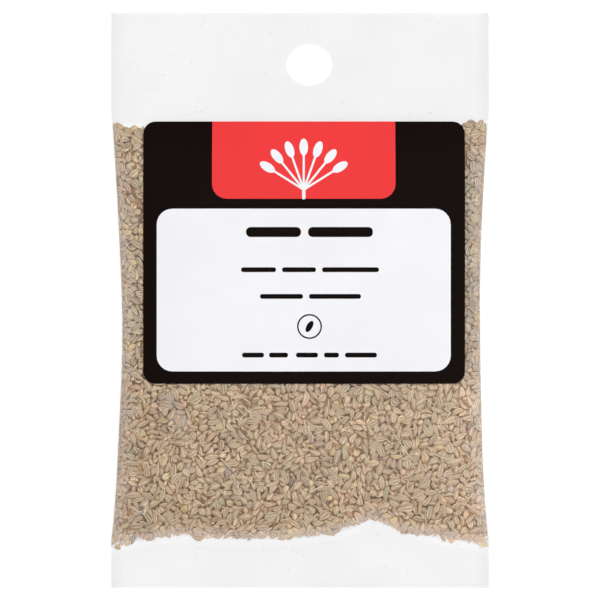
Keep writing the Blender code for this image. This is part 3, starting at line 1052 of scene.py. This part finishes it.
# Its print in the photograph's pixels: left, right, top and bottom, and the words row by row
PANEL, PANEL_CORNER = (156.5, 451.0, 208.6, 371.5), 4.2 * MM
TAB, TAB_CORNER = (211.9, 395.6, 121.0, 198.7), 4.0 * MM
RING, RING_LINE, RING_SEED = (297, 322, 314, 339), 0.42 * MM, (1.7 * MM, 0.8 * MM)
WORDS = (
    (227, 237, ((246, 301), (308, 373))),
    (267.3, 272.1, ((241, 276), (282, 316), (322, 379))),
    (294, 298.8, ((260, 303), (309, 361))),
    (352.7, 357.5, ((242, 264), (269, 288), (296, 318), (324, 339), (345, 377))),
)
LABEL_CORNER, LABEL_THICKNESS, LABEL_GAP = 3.2 * MM, 0.12 * MM, 0.16 * MM
RAYS, RAY_SPREAD, RAY_WIDTH, RAY_SEED = 7, 58, 0.56 * MM, (2.3 * MM, 1.15 * MM)  # the spread in degrees
FLOWER_REACH, FLOWER_DROP, STEM = 13.5 * MM, 8.0 * MM, (0.9 * MM, 3.0 * MM)


def box_on_label(left, right, top, bottom):
    """Centre and size of a box that the photograph shows between these pixels."""
    size = (right - left) * LABEL_PIXEL, (bottom - top) * LABEL_PIXEL
    return on_packet((left + right) / 2, (top + bottom) / 2, LABEL_PIXEL), size


def label_fields():
    """The print: each field's loop and material, later fields over earlier ones."""
    black = print_skin("print_black", linear(19, 11, 9))
    red = print_skin("print_red", linear(236, 62, 63))
    white = print_skin("print_white", linear(240, 240, 244))
    # The tab starts at the label's own top edge
    (x, y), (width, height) = box_on_label(*TAB)
    top = LABEL_CENTRE[1] + LABEL_SIZE[1] / 2
    height = top - y + height / 2
    y = top - height / 2
    fields = [
        (rounded(LABEL_CENTRE, LABEL_SIZE, LABEL_CORNER), black),
        (rounded(*box_on_label(*PANEL), PANEL_CORNER), white),
        (rounded((x, y), (width, height), (0.0, 0.0, TAB_CORNER, TAB_CORNER)), red),
    ]
    fields += [(loop, white) for loop in flower_head(Vector((x, y - FLOWER_DROP)))]
    for top, bottom, words in WORDS:
        for left, right in words:
            centre, size = box_on_label(left, right, top, bottom)
            fields.append((rounded(centre, size, size[1] * 0.45, 4), black))
    middle, (size, _) = box_on_label(*RING)
    return fields + [
        (oval(middle, (size / 2, size / 2)), black),
        (oval(middle, (size / 2 - RING_LINE,) * 2), white),
        (oval(middle, RING_SEED, radians(60), 16), black),
    ]


def flower_head(foot):
    """The loops of a seed plant's plain flower head: a stem whose rays each end in a seed."""
    loops = []
    for k in range(RAYS):
        heading = radians(90 + RAY_SPREAD * (k / (RAYS - 1) * 2 - 1))
        along = Vector((cos(heading), sin(heading)))
        edge = Vector((-along.y, along.x)) * (RAY_WIDTH / 2)
        tip = foot + along * FLOWER_REACH * 0.72
        loops.append([tuple(p) for p in (foot - edge, tip - edge, tip + edge, foot + edge)])
        loops.append(oval(foot + along * FLOWER_REACH * 0.85, RAY_SEED, heading, 20))
    loops.append(rounded((foot.x, foot.y - 1.1 * MM), STEM, 0.4 * MM, 3))
    return loops


def make_label():
    fields = label_fields()
    (outline, _), (_, white) = fields[:2]
    flat, faces = triangulate([loop for loop, _ in fields], LABEL_NET, lambda x, y: holds(outline, x, y))
    lower = front_height(*flat.T) + LABEL_GAP
    mesh = closed_sheet("sticker", flat, faces, lower, lower + LABEL_THICKNESS)
    skins = list(dict.fromkeys(skin for _, skin in fields))
    x, y = flat[faces].mean(1).T
    slots = np.full(len(mesh.polygons), skins.index(white), np.int32)
    for loop, skin in fields:
        slots[: len(faces)][holds(loop, x, y)] = skins.index(skin)
    add_piece("sticker", mesh, skins, "label")
    mesh.polygons.foreach_set("material_index", slots)


# -------- stage, light and camera


def make_stage():
    bpy.ops.mesh.primitive_plane_add(size=40.0)
    floor = bpy.context.object
    floor.name = "floor"
    g = Graph("pale_floor")
    plain = g.add("BsdfDiffuse", {"Color": (0.22, 0.22, 0.22, 1)})[0]
    glow = g.add("Emission", {"Color": (1, 1, 1, 1), "Strength": 0.84})[0]
    floor.data.materials.append(g.end(g.add("AddShader", {0: plain, 1: glow})[0]))
    # White all round, and dimmer overhead, where the softboxes are
    g = Graph("studio", "worlds")
    height = g.split(g.add("TexCoord")["Generated"])[2]
    strength = g.span(height, 0.02, 0.32, 0.92, 0.39)
    sky = g.add("Background", {"Color": (1, 1, 1, 1), "Strength": strength})[0]
    g.add("OutputWorld", {"Surface": sky})
    bpy.context.scene.world = g.material


def make_light():
    """Soft boxes that face the packet: to the upper left and right, and above."""
    for place, width, length, energy in (
        ((-0.45, 0.4, 1.1), 0.9, 0.6, 0.9),
        ((0.45, 0.4, 1.1), 0.9, 0.6, 2.6),
        ((0.18, 0.05, 1.3), 1.1, 1.1, 10.0),
    ):
        data = bpy.data.lights.new("softbox", "AREA")
        data.shape, data.size, data.size_y, data.energy = "RECTANGLE", width, length, energy
        light = new_object("softbox", data)
        light.location = place
        light.rotation_euler = Vector(place).to_track_quat("Z", "Y").to_euler()


def make_camera():
    data = bpy.data.cameras.new("camera")
    camera = new_object("camera", data)
    camera.location = (0.0, 0.5 * PIXEL, SIDE_SEAM + CAMERA_HEIGHT)
    data.sensor_width = 36.0
    data.lens = data.sensor_width * CAMERA_HEIGHT / (PHOTO_SIDE * PIXEL)
    bpy.context.scene.camera = camera


def main():
    make_camera()
    make_stage()
    make_light()
    seeds, front, back = make_seeds()
    make_core(front, back)
    make_stalks(seeds.film)
    make_film(seeds.film, back)
    make_label()
    bpy.context.scene.view_settings.view_transform = "Standard"


main()
